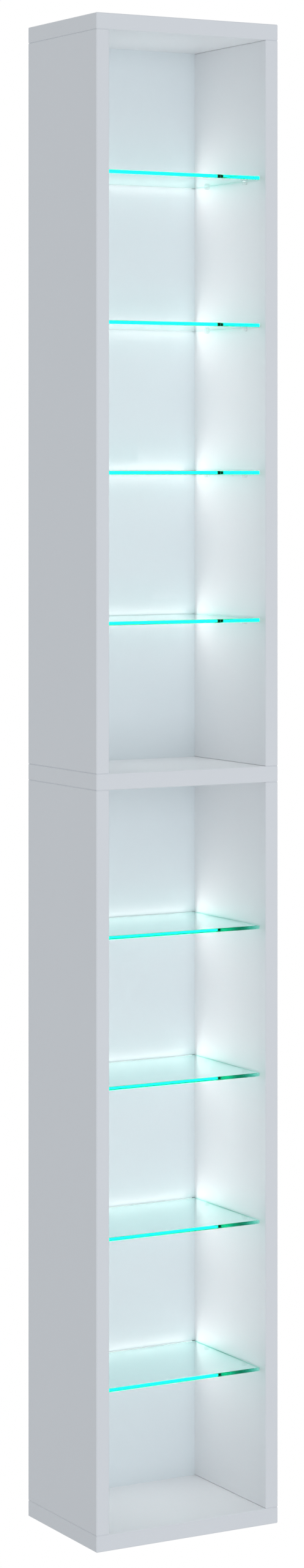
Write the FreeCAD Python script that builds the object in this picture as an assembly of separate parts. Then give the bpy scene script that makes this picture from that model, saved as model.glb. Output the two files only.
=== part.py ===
"""Tall hanging wall shelf: two stacked sections of white board with lit glass shelves.

Frame: +X to the right, front towards -Y, +Z up. The wall is the plane Y = 0, and the origin is the
centre of the four keyhole hangers that the shelf hangs from. Sizes are in millimetres.
"""
import FreeCAD, Part
import math
import os

V = FreeCAD.Vector

# Case boards
CASE_WIDTH = 232.0
CASE_DEPTH = 162.0
SIDE_THICKNESS = 16.0
PLATE_THICKNESS = 18.0
EDGE_CHAMFER = 0.8

# Glass shelves and the compartments between them
SHELVES_PER_SECTION = 4
COMPARTMENT_HEIGHT = 161.5
END_COMPARTMENT_HEIGHT = 152.0
GLASS_THICKNESS = 4.0
GLASS_SETBACK = 12.0
GLASS_SIDE_GAP = 0.5
GLASS_REAR_GAP = 0.3
GLASS_ARRIS = 0.4

# Back panels, in rebates all round
BACK_THICKNESS = 3.0
REBATE_WIDTH = 4.0
BACK_CLEARANCE = 0.25
NAIL_PITCH = 250.0
NAIL_END_INSET = 30.0
NAIL_RADIUS = 0.8
NAIL_LENGTH = 14.0

# Light strips behind the rear edge of each shelf
LED_COVER_HEIGHT = 4.0
LED_COVER_DEPTH = 1.9
LED_COVER_WALL = 0.5
LED_COVER_CHAMFER = 0.4
LED_CAP_WIDTH = 3.0
LED_SIDE_GAP = 0.7
LED_TAPE_HEIGHT = 2.8
LED_TAPE_THICKNESS = 0.3
LED_CHIP_WIDTH = 2.8
LED_CHIP_HEIGHT = 2.0
LED_CHIP_THICKNESS = 0.7
LED_CHIP_PITCH = 10.0
LED_END_INSET = 5.0
CABLE_HOLE_RADIUS = 1.5
CABLE_HOLE_INSET = 8.0

# Clear shelf pins
PIN_SHANK_RADIUS = 1.5
PIN_SHANK_LENGTH = 8.5
PIN_HEAD_RADIUS = 2.2
PIN_HEAD_LENGTH = 5.0
PIN_FLAT_HEIGHT = 1.4
PIN_EDGE_INSET = 30.0
PIN_HOLE_SPARE = 0.5
SHELF_SEAT_GAP = 0.1

# Corner joints: two screws and a dowel at top and bottom, two long dowels through the middle panel
JOINT_FRONT_INSET = 35.0
JOINT_REAR_INSET = 40.0
SCREW_RADIUS = 3.5
SCREW_LENGTH = 48.0
SCREW_TIP = 4.0
SCREW_HEAD_RADIUS = 5.0
SCREW_HEAD_HEIGHT = 2.5
SCREW_TAPER = 1.8
SOCKET_RADIUS = 2.3
SOCKET_DEPTH = 2.6
CAP_RADIUS = 6.0
CAP_THICKNESS = 1.6
DOWEL_RADIUS = 4.0
DOWEL_PLATE_DEPTH = 11.0
DOWEL_SIDE_DEPTH = 22.0
HOLE_SPARE = 1.0

# Keyhole hangers and joining plates, let into the rear edges of the sides
HANGER_TOP_INSET = 90.0
HANGER_BELOW = 20.0
HANGER_ABOVE = 30.0
HANGER_THICKNESS = 1.5
HANGER_MARGIN = 1.0
HANGER_CORNER = 2.0
KEYHOLE_WEB = 1.5
KEYHOLE_SLOT_RADIUS = 2.0
KEYHOLE_TRAVEL = 11.0
HEAD_POCKET_DEPTH = 12.0
HEAD_CLEARANCE = 0.2
PLATE_SCREW_INSET = 6.0
PLATE_SCREW_PITCH = 16.0
JOINING_REACH = 36.0
WOOD_SCREW_RADIUS = 1.5
WOOD_SCREW_LENGTH = 16.0
WOOD_SCREW_TIP = 3.0
WOOD_SCREW_HEAD_RADIUS = 2.8
WOOD_SCREW_HEAD_HEIGHT = 1.3

# Sides of the small round pieces and of the holes they sit in, which keeps the model light
NAIL_SIDES = 6
FASTENER_SIDES = 8
CAP_SIDES = 12

# Clearances between fitted pieces
FIT = 0.1
RECESS_FIT = 0.15

# Places that follow from the sizes above
INNER_HALF = CASE_WIDTH / 2 - SIDE_THICKNESS
SIDE_CENTRE = CASE_WIDTH / 2 - SIDE_THICKNESS / 2
SHELF_PITCH = COMPARTMENT_HEIGHT + GLASS_THICKNESS
SIDE_HEIGHT = SHELVES_PER_SECTION * SHELF_PITCH + END_COMPARTMENT_HEIGHT

# The hangers sit one side height and one plate apart, so their middle sets the origin
MID_TOP = PLATE_THICKNESS / 2 - (SIDE_HEIGHT - 2 * HANGER_TOP_INSET) / 2
MID_BOTTOM = MID_TOP - PLATE_THICKNESS
UPPER_TOP = MID_TOP + SIDE_HEIGHT
LOWER_BOTTOM = MID_BOTTOM - SIDE_HEIGHT
SECTIONS = {"upper": (MID_TOP, UPPER_TOP), "lower": (LOWER_BOTTOM, MID_BOTTOM)}

BACK_FACE = -BACK_THICKNESS
LED_FACE = BACK_FACE - LED_COVER_DEPTH
GLASS_REAR = LED_FACE - GLASS_REAR_GAP
GLASS_FRONT = -CASE_DEPTH + GLASS_SETBACK
GLASS_HALF = INNER_HALF - GLASS_SIDE_GAP
LED_HALF = INNER_HALF - LED_SIDE_GAP - LED_CAP_WIDTH
PIN_ROWS = (GLASS_FRONT + PIN_EDGE_INSET, GLASS_REAR - PIN_EDGE_INSET)

JOINT_FRONT = -CASE_DEPTH + JOINT_FRONT_INSET
JOINT_REAR = -JOINT_REAR_INSET
JOINT_ROWS = (JOINT_FRONT, JOINT_REAR)
JOINT_MIDDLE = (JOINT_FRONT + JOINT_REAR) / 2

HANGER_WIDTH = SIDE_THICKNESS - REBATE_WIDTH - 2 * HANGER_MARGIN
HANGER_X = CASE_WIDTH / 2 - HANGER_MARGIN - HANGER_WIDTH / 2
KEYHOLE_RADIUS = HANGER_WIDTH / 2 - KEYHOLE_WEB
MID_LEVEL = (MID_TOP + MID_BOTTOM) / 2
JOINING_HALF = PLATE_THICKNESS / 2 + JOINING_REACH

UP = V(0, 0, 1)
DOWN = V(0, 0, -1)
OUT_FRONT = V(0, -1, 0)


def block(low, high):
    """Box between two corners."""
    size = [b - a for a, b in zip(low, high)]
    return Part.makeBox(*size, V(*low))


def ring(radius, height, sides):
    """Corner points of a regular polygon round the Z axis, or one point on the axis."""
    if not radius:
        return [V(0, 0, height)]
    turns = [2 * math.pi * i / sides for i in range(sides)]
    return [V(radius * math.cos(t), radius * math.sin(t), height) for t in turns]


def turned(profile, base, direction, sides=FASTENER_SIDES):
    """Faceted turned solid from (radius, distance along the axis) points."""
    rings = [ring(r, h, sides) for r, h in profile]
    faces = []
    for low, high in zip(rings, rings[1:]):
        for i in range(sides):
            corners = [low[i % len(low)], low[(i + 1) % len(low)], high[(i + 1) % len(high)], high[i % len(high)]]
            outline = [c for c, before in zip(corners, corners[-1:] + corners) if c != before]
            faces.append(Part.Face(Part.makePolygon(outline + outline[:1])))
    solid = Part.Solid(Part.Shell(faces)).removeSplitter()
    solid.Placement = FreeCAD.Placement(V(*base), FreeCAD.Rotation(UP, direction))
    return solid


def rod(radius, start, direction, length, sides=FASTENER_SIDES):
    """Faceted rod from a start point."""
    return turned([(0, 0), (radius, 0), (radius, length), (0, length)], start, direction, sides)


def grown(profile, clearance):
    """The same profile with a clearance added to each radius off the axis."""
    return [(r + clearance if r else r, h) for r, h in profile]


def edges_along(shape, axis):
    """Straight edges that run along an axis."""
    return [e for e in shape.Edges if abs(e.tangentAt(e.FirstParameter).dot(axis)) > 0.99]


def board(low, high):
    """Board with all its edges lightly broken."""
    box = block(low, high)
    return box.makeChamfer(EDGE_CHAMFER, box.Edges)


def mirrored(shape, hand):
    """The right-hand shape, or its mirror image for the left hand."""
    return shape if hand > 0 else shape.mirror(V(), V(1, 0, 0))


def both_hands(shapes):
    """Right-hand shapes together with their mirror images."""
    return [mirrored(shape, hand) for hand in (1, -1) for shape in shapes]


def shelf_undersides(section):
    """Heights of the undersides of a section's glass shelves, from the top down."""
    if section == "upper":
        first = MID_TOP + COMPARTMENT_HEIGHT
        levels = [first + i * SHELF_PITCH for i in range(SHELVES_PER_SECTION)]
        return levels[::-1]
    first = MID_BOTTOM - COMPARTMENT_HEIGHT - GLASS_THICKNESS
    return [first - i * SHELF_PITCH for i in range(SHELVES_PER_SECTION)]


ALL_UNDERSIDES = shelf_undersides("upper") + shelf_undersides("lower")


# Fasteners
SCREW_PROFILE = [
    (0, 0),
    (SCREW_HEAD_RADIUS, 0),
    (SCREW_HEAD_RADIUS, SCREW_HEAD_HEIGHT),
    (SCREW_RADIUS, SCREW_HEAD_HEIGHT + SCREW_TAPER),
    (SCREW_RADIUS, SCREW_LENGTH - SCREW_TIP),
    (0, SCREW_LENGTH),
]
WOOD_SCREW_PROFILE = [
    (0, 0),
    (WOOD_SCREW_HEAD_RADIUS, 0),
    (WOOD_SCREW_RADIUS, WOOD_SCREW_HEAD_HEIGHT),
    (WOOD_SCREW_RADIUS, WOOD_SCREW_LENGTH - WOOD_SCREW_TIP),
    (0, WOOD_SCREW_LENGTH),
]


def outer_plates():
    """Outer face height and inward direction of the top and bottom panels."""
    return (UPPER_TOP + PLATE_THICKNESS, DOWN), (LOWER_BOTTOM - PLATE_THICKNESS, UP)


def screw_seat(level, inward, row):
    """Point where a connecting screw's head lies, below its cap."""
    return V(SIDE_CENTRE, row, level) + inward * CAP_THICKNESS


def screw_cap(level, inward, row, clearance=0.0):
    """Flush cap over a connecting screw, or its seat."""
    return rod(CAP_RADIUS + clearance, V(SIDE_CENTRE, row, level), inward, CAP_THICKNESS, CAP_SIDES)


def screw_holes(level, inward):
    """Stepped holes for the connecting screws and their caps at one outer plate."""
    holes = []
    for row in JOINT_ROWS:
        holes.append(turned(grown(SCREW_PROFILE, FIT), screw_seat(level, inward, row), inward))
        holes.append(screw_cap(level, inward, row, FIT))
    return holes


def connecting_screw(level, inward, row):
    """Connecting screw with a hexagon socket in its head."""
    seat = screw_seat(level, inward, row)
    corner = V(SOCKET_RADIUS, 0, 0)
    hexagon = [seat + FreeCAD.Rotation(UP, 60 * i).multVec(corner) for i in range(7)]
    socket = Part.Face(Part.makePolygon(hexagon)).extrude(inward * SOCKET_DEPTH)
    return turned(SCREW_PROFILE, seat, inward).cut(socket)


def dowel(start, length):
    return rod(DOWEL_RADIUS, start, UP, length)


def dowel_hole(start, length):
    """Hole for a dowel, a little deeper at both ends."""
    return rod(DOWEL_RADIUS + FIT, start - UP * HOLE_SPARE, UP, length + 2 * HOLE_SPARE)


def short_dowels():
    """Start and length of the right-hand dowels in the top and bottom joints."""
    length = DOWEL_PLATE_DEPTH + DOWEL_SIDE_DEPTH
    top = V(SIDE_CENTRE, JOINT_MIDDLE, UPPER_TOP - DOWEL_SIDE_DEPTH)
    bottom = V(SIDE_CENTRE, JOINT_MIDDLE, LOWER_BOTTOM - DOWEL_PLATE_DEPTH)
    return (top, length), (bottom, length)


def long_dowels():
    """Start and length of the right-hand dowels that pass through the middle panel."""
    length = PLATE_THICKNESS + 2 * DOWEL_SIDE_DEPTH
    low = MID_BOTTOM - DOWEL_SIDE_DEPTH
    return [(V(SIDE_CENTRE, row, low), length) for row in JOINT_ROWS]


def dowel_holes():
    return [dowel_hole(*run) for run in (*short_dowels(), *long_dowels())]


# Steel plates in the rear edges of the sides
def flat_plate(low, high, grow):
    """Right-hand rear plate between two heights, or its recess when grown."""
    half = HANGER_WIDTH / 2 + grow
    box = block((HANGER_X - half, -HANGER_THICKNESS, low - grow), (HANGER_X + half, 0, high + grow))
    return box.makeChamfer(HANGER_CORNER, edges_along(box, OUT_FRONT))


def hanger_levels():
    """Heights of the keyhole centres, one for each section."""
    return [top - HANGER_TOP_INSET for bottom, top in SECTIONS.values()]


def hanger_screw_levels(level):
    return level - HANGER_BELOW + PLATE_SCREW_INSET, level + HANGER_ABOVE - PLATE_SCREW_INSET


def joining_screw_levels():
    outer = JOINING_HALF - PLATE_SCREW_INSET
    inner = outer - PLATE_SCREW_PITCH
    return [MID_LEVEL + offset for offset in (outer, inner, -inner, -outer)]


def rear_screw(level, clearance=0.0):
    """Wood screw driven from the rear into the right-hand side, or its hole."""
    return turned(grown(WOOD_SCREW_PROFILE, clearance), (HANGER_X, 0, level), OUT_FRONT)


def keyhole(level):
    """Round entry for a wall screw's head, with a slot for its shank that runs up from it."""
    end = level + KEYHOLE_TRAVEL
    half = KEYHOLE_SLOT_RADIUS
    entry = Part.makeCylinder(KEYHOLE_RADIUS, HANGER_THICKNESS, V(HANGER_X, 0, level), OUT_FRONT)
    slot = block((HANGER_X - half, -HANGER_THICKNESS, level), (HANGER_X + half, 0, end))
    slot_end = rod(half, V(HANGER_X, 0, end), OUT_FRONT, HANGER_THICKNESS)
    return entry.fuse([slot, slot_end]).removeSplitter()


def head_pocket(level):
    """Mortise in the side for the head of the wall screw, along the whole keyhole."""
    half = KEYHOLE_RADIUS + HEAD_CLEARANCE
    return block(
        (HANGER_X - half, -HEAD_POCKET_DEPTH, level - half),
        (HANGER_X + half, 0, level + KEYHOLE_TRAVEL + half),
    )


def hanger_plate(level):
    plate = flat_plate(level - HANGER_BELOW, level + HANGER_ABOVE, 0)
    holes = [rear_screw(z, FIT) for z in hanger_screw_levels(level)]
    return plate.cut([keyhole(level)] + holes)


def joining_plate():
    plate = flat_plate(MID_LEVEL - JOINING_HALF, MID_LEVEL + JOINING_HALF, 0)
    return plate.cut([rear_screw(z, FIT) for z in joining_screw_levels()])


def joining_recess():
    return flat_plate(MID_LEVEL - JOINING_HALF, MID_LEVEL + JOINING_HALF, RECESS_FIT)


def rear_cuts(level):
    """Recesses, head pocket and screw holes in the rear edge of a right-hand side."""
    hanger = flat_plate(level - HANGER_BELOW, level + HANGER_ABOVE, RECESS_FIT)
    levels = list(hanger_screw_levels(level)) + joining_screw_levels()
    return [hanger, head_pocket(level), joining_recess()] + [rear_screw(z, FIT) for z in levels]


# Shelf pins
def pin_places(undersides):
    """Axis points of the right-hand pins on the inner face of the side."""
    drop = SHELF_SEAT_GAP + PIN_FLAT_HEIGHT
    return [V(INNER_HALF, row, z - drop) for z in undersides for row in PIN_ROWS]


def shelf_pin(place):
    """Clear pin: a shank in the side and a round head with a flat for the glass."""
    profile = [
        (0, 0),
        (PIN_HEAD_RADIUS, 0),
        (PIN_HEAD_RADIUS, PIN_HEAD_LENGTH),
        (PIN_SHANK_RADIUS, PIN_HEAD_LENGTH),
        (PIN_SHANK_RADIUS, PIN_HEAD_LENGTH + PIN_SHANK_LENGTH),
        (0, PIN_HEAD_LENGTH + PIN_SHANK_LENGTH),
    ]
    tip = place - V(PIN_HEAD_LENGTH, 0, 0)
    pin = turned(profile, tip, V(1, 0, 0))
    reach = 2 * PIN_HEAD_RADIUS
    above = block(
        (tip.x - reach, tip.y - reach, tip.z + PIN_FLAT_HEIGHT),
        (place.x, tip.y + reach, tip.z + reach),
    )
    return pin.cut(above)


def pin_hole(place):
    return rod(PIN_SHANK_RADIUS + FIT, place, V(1, 0, 0), PIN_SHANK_LENGTH + PIN_HOLE_SPARE)


# Back panels and their nails
def nail_places(section):
    """Nail points of one back panel: two upright rows and one nail at each end."""
    bottom, top = SECTIONS[section]
    edge = INNER_HALF + REBATE_WIDTH / 2
    run = SIDE_HEIGHT - 2 * NAIL_END_INSET
    gaps = max(1, round(run / NAIL_PITCH))
    rows = [bottom + NAIL_END_INSET + run * i / gaps for i in range(gaps + 1)]
    sides = [V(x, 0, z) for x in (-edge, edge) for z in rows]
    return sides + [V(0, 0, bottom - REBATE_WIDTH / 2), V(0, 0, top + REBATE_WIDTH / 2)]


def nails(section, clearance=0.0):
    radius = NAIL_RADIUS + clearance
    return [rod(radius, p, OUT_FRONT, NAIL_LENGTH, NAIL_SIDES) for p in nail_places(section)]


def cable_hole(underside):
    """Hole behind the left end of a light strip for its lead."""
    centre = V(CABLE_HOLE_INSET - LED_HALF, 0, underside + GLASS_THICKNESS / 2)
    return rod(CABLE_HOLE_RADIUS, centre, OUT_FRONT, BACK_THICKNESS, CAP_SIDES)


def back_panel(section):
    bottom, top = SECTIONS[section]
    half = INNER_HALF + REBATE_WIDTH - BACK_CLEARANCE
    reach = REBATE_WIDTH - BACK_CLEARANCE
    panel = block((-half, BACK_FACE, bottom - reach), (half, 0, top + reach))
    holes = [cable_hole(z) for z in shelf_undersides(section)]
    return panel.cut(holes + nails(section, FIT))


def rebate(low, high):
    """Room for a back panel between two heights."""
    half = INNER_HALF + REBATE_WIDTH
    return block((-half, BACK_FACE, low - REBATE_WIDTH), (half, 0, high + REBATE_WIDTH))


# Case boards
def side_panel(section, hand):
    bottom, top = SECTIONS[section]
    panel = board((INNER_HALF, -CASE_DEPTH, bottom), (CASE_WIDTH / 2, 0, top))
    cuts = [rebate(bottom, top)] + nails(section, FIT)
    cuts += [pin_hole(p) for p in pin_places(shelf_undersides(section))]
    cuts += rear_cuts(top - HANGER_TOP_INSET)
    cuts += dowel_holes()
    for level, inward in outer_plates():
        cuts += screw_holes(level, inward)
    return mirrored(panel.cut(cuts), hand)


def plate_board(bottom, top):
    """Board of full width and depth with the rebates that face its neighbours."""
    half = CASE_WIDTH / 2
    panel = board((-half, -CASE_DEPTH, bottom), (half, 0, top))
    return panel.cut([rebate(low, high) for low, high in SECTIONS.values()])


def outer_plate(level, inward):
    low, high = sorted((level, level + inward.z * PLATE_THICKNESS))
    cuts = both_hands(screw_holes(level, inward) + dowel_holes())
    cuts += nails("upper", FIT) + nails("lower", FIT)
    return plate_board(low, high).cut(cuts)


def middle_plate():
    cuts = both_hands(dowel_holes() + [joining_recess()])
    cuts += nails("upper", FIT) + nails("lower", FIT)
    return plate_board(MID_BOTTOM, MID_TOP).cut(cuts)


# Glass shelves and light strips
def glass_shelf(underside):
    pane = block(
        (-GLASS_HALF, GLASS_FRONT, underside),
        (GLASS_HALF, GLASS_REAR, underside + GLASS_THICKNESS),
    )
    return pane.makeChamfer(GLASS_ARRIS, pane.Edges)


def led_section(x_low, x_high, underside):
    """Outer shape of a light strip's cover or end cap, with its front edges broken."""
    middle = underside + GLASS_THICKNESS / 2
    half = LED_COVER_HEIGHT / 2
    box = block((x_low, LED_FACE, middle - half), (x_high, BACK_FACE, middle + half))
    front = [e for e in edges_along(box, V(1, 0, 0)) if e.CenterOfMass.y < (LED_FACE + BACK_FACE) / 2]
    return box.makeChamfer(LED_COVER_CHAMFER, front)


def led_cover(underside):
    middle = underside + GLASS_THICKNESS / 2
    half = LED_COVER_HEIGHT / 2 - LED_COVER_WALL
    hollow = block(
        (-LED_HALF, LED_FACE + LED_COVER_WALL, middle - half),
        (LED_HALF, BACK_FACE, middle + half),
    )
    return led_section(-LED_HALF, LED_HALF, underside).cut(hollow)


def led_end_caps(underside):
    return both_hands([led_section(LED_HALF, LED_HALF + LED_CAP_WIDTH, underside)])


def led_tape(underside):
    middle = underside + GLASS_THICKNESS / 2
    half = LED_TAPE_HEIGHT / 2
    front = BACK_FACE - LED_TAPE_THICKNESS
    return block((-LED_HALF, front, middle - half), (LED_HALF, BACK_FACE, middle + half))


def led_chips(underside):
    """Evenly spaced light chips on the front of the tape."""
    middle = underside + GLASS_THICKNESS / 2
    rear = BACK_FACE - LED_TAPE_THICKNESS
    gaps = int(2 * (LED_HALF - LED_END_INSET) / LED_CHIP_PITCH)
    chips = []
    for i in range(gaps + 1):
        x = (i - gaps / 2) * LED_CHIP_PITCH
        low = (x - LED_CHIP_WIDTH / 2, rear - LED_CHIP_THICKNESS, middle - LED_CHIP_HEIGHT / 2)
        high = (x + LED_CHIP_WIDTH / 2, rear, middle + LED_CHIP_HEIGHT / 2)
        chips.append(block(low, high))
    return chips


def group(shapes):
    return Part.makeCompound(shapes)


# All the pieces by name
top_plate, bottom_plate = outer_plates()
nodes = {
    "top_panel": outer_plate(*top_plate),
    "middle_panel": middle_plate(),
    "bottom_panel": outer_plate(*bottom_plate),
}
for section_name in SECTIONS:
    nodes[f"{section_name}_left_side"] = side_panel(section_name, -1)
    nodes[f"{section_name}_right_side"] = side_panel(section_name, 1)
    nodes[f"{section_name}_back_panel"] = back_panel(section_name)

for number, shelf_level in enumerate(ALL_UNDERSIDES, 1):
    nodes[f"glass_shelf_{number}"] = glass_shelf(shelf_level)
    nodes[f"led_tape_{number}"] = led_tape(shelf_level)
    nodes[f"led_chips_{number}"] = group(led_chips(shelf_level))
    nodes[f"led_cover_{number}"] = led_cover(shelf_level)

nodes["led_end_caps"] = group([cap for z in ALL_UNDERSIDES for cap in led_end_caps(z)])
nodes["shelf_pins"] = group(both_hands([shelf_pin(p) for p in pin_places(ALL_UNDERSIDES)]))
nodes["dowels"] = group(both_hands([dowel(*run) for run in short_dowels()]))
nodes["long_dowels"] = group(both_hands([dowel(*run) for run in long_dowels()]))
joint_seats = [(level, inward, row) for level, inward in outer_plates() for row in JOINT_ROWS]
nodes["connecting_screws"] = group(both_hands([connecting_screw(*seat) for seat in joint_seats]))
nodes["screw_caps"] = group(both_hands([screw_cap(*seat) for seat in joint_seats]))
nodes["hanger_plates"] = group(both_hands([hanger_plate(z) for z in hanger_levels()]))
hanger_screws = [rear_screw(s) for z in hanger_levels() for s in hanger_screw_levels(z)]
nodes["hanger_screws"] = group(both_hands(hanger_screws))
nodes["joining_plates"] = group(both_hands([joining_plate()]))
nodes["joining_screws"] = group(both_hands([rear_screw(z) for z in joining_screw_levels()]))
nodes["back_panel_nails"] = group(nails("upper") + nails("lower"))

os.makedirs("parts", exist_ok=True)
for name, shape in nodes.items():
    shape.exportStep(f"parts/{name}.step")
    print(name, len(shape.Solids), "solids", round(shape.Volume, 1), "mm3", shape.isValid())
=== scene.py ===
"""Dresses a tall hanging wall shelf: white lacquered boards, glass shelves and light strips.

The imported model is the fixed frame. Boards, glass, plates and strips keep their own shapes and get
finishes, and the shelf pins, caps, screws and nails are modelled here. Sizes are in metres.
"""
import math

import bmesh
import bpy
from mathutils import Matrix, Vector


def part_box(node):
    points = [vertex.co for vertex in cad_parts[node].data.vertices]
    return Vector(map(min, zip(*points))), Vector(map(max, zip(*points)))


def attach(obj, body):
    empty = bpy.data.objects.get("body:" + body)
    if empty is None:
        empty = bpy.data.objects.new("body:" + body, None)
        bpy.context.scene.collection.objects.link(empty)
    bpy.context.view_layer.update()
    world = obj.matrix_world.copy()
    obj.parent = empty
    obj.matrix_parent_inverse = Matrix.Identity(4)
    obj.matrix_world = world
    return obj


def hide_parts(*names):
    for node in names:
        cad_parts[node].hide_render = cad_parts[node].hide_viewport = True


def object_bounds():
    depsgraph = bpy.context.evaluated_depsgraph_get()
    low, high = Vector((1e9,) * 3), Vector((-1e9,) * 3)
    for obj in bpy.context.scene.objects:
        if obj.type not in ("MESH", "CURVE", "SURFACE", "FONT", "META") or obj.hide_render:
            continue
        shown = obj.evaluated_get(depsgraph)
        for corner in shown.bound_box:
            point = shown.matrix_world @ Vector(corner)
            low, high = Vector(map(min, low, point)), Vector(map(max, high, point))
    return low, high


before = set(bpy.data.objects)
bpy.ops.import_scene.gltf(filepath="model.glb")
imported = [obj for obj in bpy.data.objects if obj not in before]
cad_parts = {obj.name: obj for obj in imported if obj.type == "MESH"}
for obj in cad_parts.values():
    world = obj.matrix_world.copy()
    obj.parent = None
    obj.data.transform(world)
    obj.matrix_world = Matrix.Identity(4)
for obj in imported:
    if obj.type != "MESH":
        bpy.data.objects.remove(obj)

bl_info = {
    "name": "Lit wall shelf",
    "version": (1, 0, 0),
    "blender": (4, 5, 0),
    "location": "3D View > Sidebar > Wall shelf",
    "description": "Finishes, small hardware and studio of a hanging wall shelf with lit glass shelves",
    "category": "Object",
}

# What the frame holds
CAD_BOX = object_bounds()
SHELF_COUNT = sum(name.startswith("glass_shelf_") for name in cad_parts)
UPPER_SHELVES = SHELF_COUNT // 2
SECTIONS = ("upper", "lower")
BOARDS = ("top_panel", "middle_panel", "bottom_panel") + tuple(
    f"{section}_{hand}_side" for section in SECTIONS for hand in ("left", "right")
)

# Directions, and the cosine from which a face counts as looking along one
RIGHT, LEFT = Vector((1, 0, 0)), Vector((-1, 0, 0))
REAR, FRONT = Vector((0, 1, 0)), Vector((0, -1, 0))
UP, DOWN = Vector((0, 0, 1)), Vector((0, 0, -1))
SAME_WAY = 0.9

MILLIMETRE = 0.001
TOUCHING = 1e-6
SMOOTH_ANGLE = math.radians(35)
WHITE = (1.0, 1.0, 1.0, 1.0)
BLACK = (0.0, 0.0, 0.0, 1.0)

# Shares and levels of the finishes
NOISE_MIDDLE = 0.5
GRAIN_IN_GLOSS = 0.5
CHIPBOARD_FINE_SHARE = 0.55
CHIPBOARD_DARKEST = 0.62
CHIPBOARD_TONES = 0.62
CHIPBOARD_GAP_TONE = 0.3
CHIPBOARD_EXTRA_ROUGHNESS = 0.5
RAW_BOARD_DARKEST = 0.45
RAW_BOARD_BLOTCHES = 1.3
RAW_BOARD_EXTRA_ROUGHNESS = 0.38
SCREEN_STRENGTH = 0.22
GROUND_FACING = 0.5  # cosine from which an edge of the glass counts as a side edge
# Places along the depth of the painted shade, deepest half way back, and of the painted light by the strip
# at the rear, on the ground side edges
GROUND_PAINTED_SHADE = 0.48  # share of the depth
GROUND_PAINTED_LIGHT_REAR = 0.86  # share of the depth from which the rear colour holds
STRIP_RIPPLE = 0.25
PIN_HEAD_ALPHA = 0.18
CRYSTAL_DARKEST = 0.90
CRYSTAL_TONES = 0.12
BEECH_DARKEST = 0.7

# Lengths of the finishes
CHIPBOARD_BEND = 0.0022  # how far the outlines of the wood chips wander
STRIP_SLEEVE = 0.0007  # dark end of a strip cover
PAD_HALF_LENGTH = 0.0012
PIN_FOOT = 0.00005  # milky part of a pin in front of its board

# Lamps of the strips and of the glass
STRIP_LAMP_GAP = 0.00015  # between a cover and its lamps
STRIP_LAMP_INSET = 0.010  # at each end of a cover
STRIP_WASH_WIDTH = 0.012
STRIP_END_LENGTH = 0.040
STRIP_GLOW_WIDTH = 0.002
STRIP_GLOW_REACH = 0.007  # in front of a cover
PANE_LAMP_GAP = 0.001  # between a glass and its lamps

# Sides of the round pieces, and shares of their widths
PIN_SIDES = 28
CAP_SIDES = 40
SCREW_SIDES = 24
NAIL_SIDES = 14
SCREW_TIP = 0.1
NAIL_TIP = 0.15
CROSS_INSET = 0.35
CROSS_REACH = 0.66
CROSS_TAPER = 0.6

# Light bounces many times inside a lit glass edge, and the strip lamps stand in for caustics
LIGHT_PATHS = {
    "max_bounces": 96,
    "glossy_bounces": 80,
    "transmission_bounces": 24,
    "caustics_reflective": False,
    "caustics_refractive": False,
}


# Properties
def colour_property(name, description, default):
    return bpy.props.FloatVectorProperty(
        name=name, description=description, default=default, size=3, min=0.0, max=1.0, subtype="COLOR"
    )


def lengths_property(name, description, default):
    return bpy.props.FloatVectorProperty(
        name=name, description=description, default=default, size=len(default), unit="LENGTH"
    )


def length_property(name, description, millimetres):
    return bpy.props.FloatProperty(
        name=name, description=description, default=millimetres * MILLIMETRE, min=0.0, unit="LENGTH"
    )


def factor_property(name, description, default):
    return bpy.props.FloatProperty(
        name=name, description=description, default=default, min=0.0, max=1.0, subtype="FACTOR"
    )


def number_property(name, description, default):
    return bpy.props.FloatProperty(name=name, description=description, default=default, min=0.0)


class WallShelfFinishes(bpy.types.PropertyGroup):
    """Colours and surface values of the shelf."""

    lacquer: colour_property("Lacquer", "White lacquer of the boards", (0.80, 0.81, 0.825))
    lacquer_roughness: factor_property("Lacquer roughness", "Satin of the boards", 0.34)
    chipboard: colour_property("Chipboard", "Bare rear edges of the boards", (0.66, 0.46, 0.27))
    back_film: colour_property("Back film", "White film in front on the back panels", (0.745, 0.80, 0.82))
    back_roughness: factor_property("Back roughness", "Satin of the film on the back panels", 0.42)
    raw_board: colour_property("Raw hardboard", "Bare rear of the back panels", (0.30, 0.185, 0.10))
    glass_refraction: number_property("Glass index", "Index of refraction of the glass", 1.52)
    glass_tint: colour_property("Glass tint", "Light that the glass lets through", (0.0, 0.92, 0.80))
    glass_density: number_property("Glass density", "Strength of the tint per metre", 36.0)
    glass_gloss: factor_property("Glass gloss", "Share of its head-on reflection that the glass keeps", 0.1)
    # Ground edge colours: partly the green of the glass and partly painted light, lighter in front and at
    # the strip, with painted shade half way back
    ground_lit_front: colour_property("Ground edge, front", "Side edges in front", (0.49, 0.83, 0.76))
    ground_shaded_middle: colour_property("Ground edge, middle", "Side edges half way back", (0.04, 0.28, 0.21))
    ground_lit_rear: colour_property("Ground edge, rear", "Side edges at the strip", (0.18, 0.66, 0.56))
    strip_light: colour_property("Strip light", "Cool white light of the strips", (0.93, 0.985, 1.0))
    strip_strength: number_property("Strip strength", "Brightness of the strip covers", 3.6)
    strip_cover: colour_property("Strip cover", "Opal plastic of the strip covers", (0.86, 0.88, 0.88))
    chip_phosphor: colour_property("Chip phosphor", "Phosphor of the light chips", (0.85, 0.76, 0.42))
    chip_strength: number_property("Chip strength", "Brightness of the light chips", 2.0)
    tape: colour_property("Tape", "White film of the strip tapes", (0.82, 0.82, 0.80))
    copper: colour_property("Copper", "Copper pads of the strip tapes", (0.72, 0.36, 0.16))
    dark_plastic: colour_property("Dark plastic", "Plastic of the strip ends", (0.012, 0.012, 0.014))
    pin_plastic: colour_property("Pin plastic", "Clear plastic of the shelf pins", (0.86, 0.88, 0.89))
    pin_refraction: number_property("Pin index", "Index of refraction of the shelf pins", 1.49)
    cap_plastic: colour_property("Cap plastic", "White plastic of the screw caps", (0.78, 0.79, 0.80))
    zinc: colour_property("Zinc", "Zinc plating of the steel pieces", (0.56, 0.57, 0.58))
    beech: colour_property("Beech", "Wood of the dowels", (0.52, 0.34, 0.19))


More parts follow.
